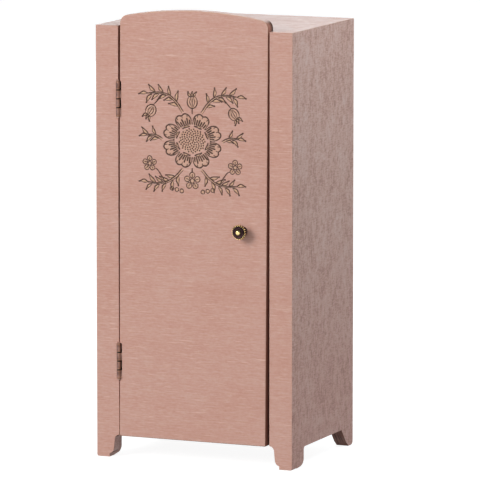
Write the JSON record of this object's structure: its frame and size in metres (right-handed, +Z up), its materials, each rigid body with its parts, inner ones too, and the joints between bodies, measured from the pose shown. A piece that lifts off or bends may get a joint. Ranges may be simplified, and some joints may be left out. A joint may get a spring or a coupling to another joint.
{
  "type": "miniature wardrobe",
  "caption": "Doll's house wardrobe: painted box on bracket feet with one inset arched door on small butt hinges, a toothed knob and a hanging rail.",
  "frame": {"origin": "on the floor, under the middle of the whole object's box, the knob included", "axes": "+Z up, +Y towards the back of the wardrobe, +X to the right as seen from the front"},
  "size_m": [0.0964, 0.0794, 0.206],
  "materials": {
    "painted_wood": "brushed matte dusty pink paint",
    "bare_wood": "sanded, unpainted",
    "aged_bronze": "antique bronze, dark in the recesses",
    "aged_brass": "antique brass, worn bright on the high points",
    "bright_steel": "plated"
  },
  "bodies": {
    "cabinet": {"left_side_panel": "painted_wood", "right_side_panel": "painted_wood", "left_front_stile": "painted_wood", "right_front_stile": "painted_wood", "top_panel": "painted_wood", "bottom_panel": "painted_wood", "back_panel": "painted_wood", "hanging_rail": "bare_wood", "cabinet_magnet": "bright_steel", "upper_hinge_cabinet_leaf": "aged_bronze", "upper_hinge_pin": "aged_bronze", "upper_hinge_cabinet_nail_upper": "aged_bronze", "upper_hinge_cabinet_nail_lower": "aged_bronze", "lower_hinge_cabinet_leaf": "aged_bronze", "lower_hinge_pin": "aged_bronze", "lower_hinge_cabinet_nail_upper": "aged_bronze", "lower_hinge_cabinet_nail_lower": "aged_bronze"},
    "door": {"door_panel": "painted_wood", "door_magnet": "bright_steel", "knob_body": "aged_brass", "knob_screw": "bright_steel", "upper_hinge_door_leaf": "aged_bronze", "upper_hinge_door_nail_upper": "aged_bronze", "upper_hinge_door_nail_lower": "aged_bronze", "lower_hinge_door_leaf": "aged_bronze", "lower_hinge_door_nail_upper": "aged_bronze", "lower_hinge_door_nail_lower": "aged_bronze"}
  },
  "joints": [
    {"name": "door_hinge", "type": "hinge", "parent": "cabinet", "child": "door", "pos_m": [-0.0371, -0.03415, 0.105], "axis": [0, 0, -1], "range_deg": [0, 180]}
  ]
}
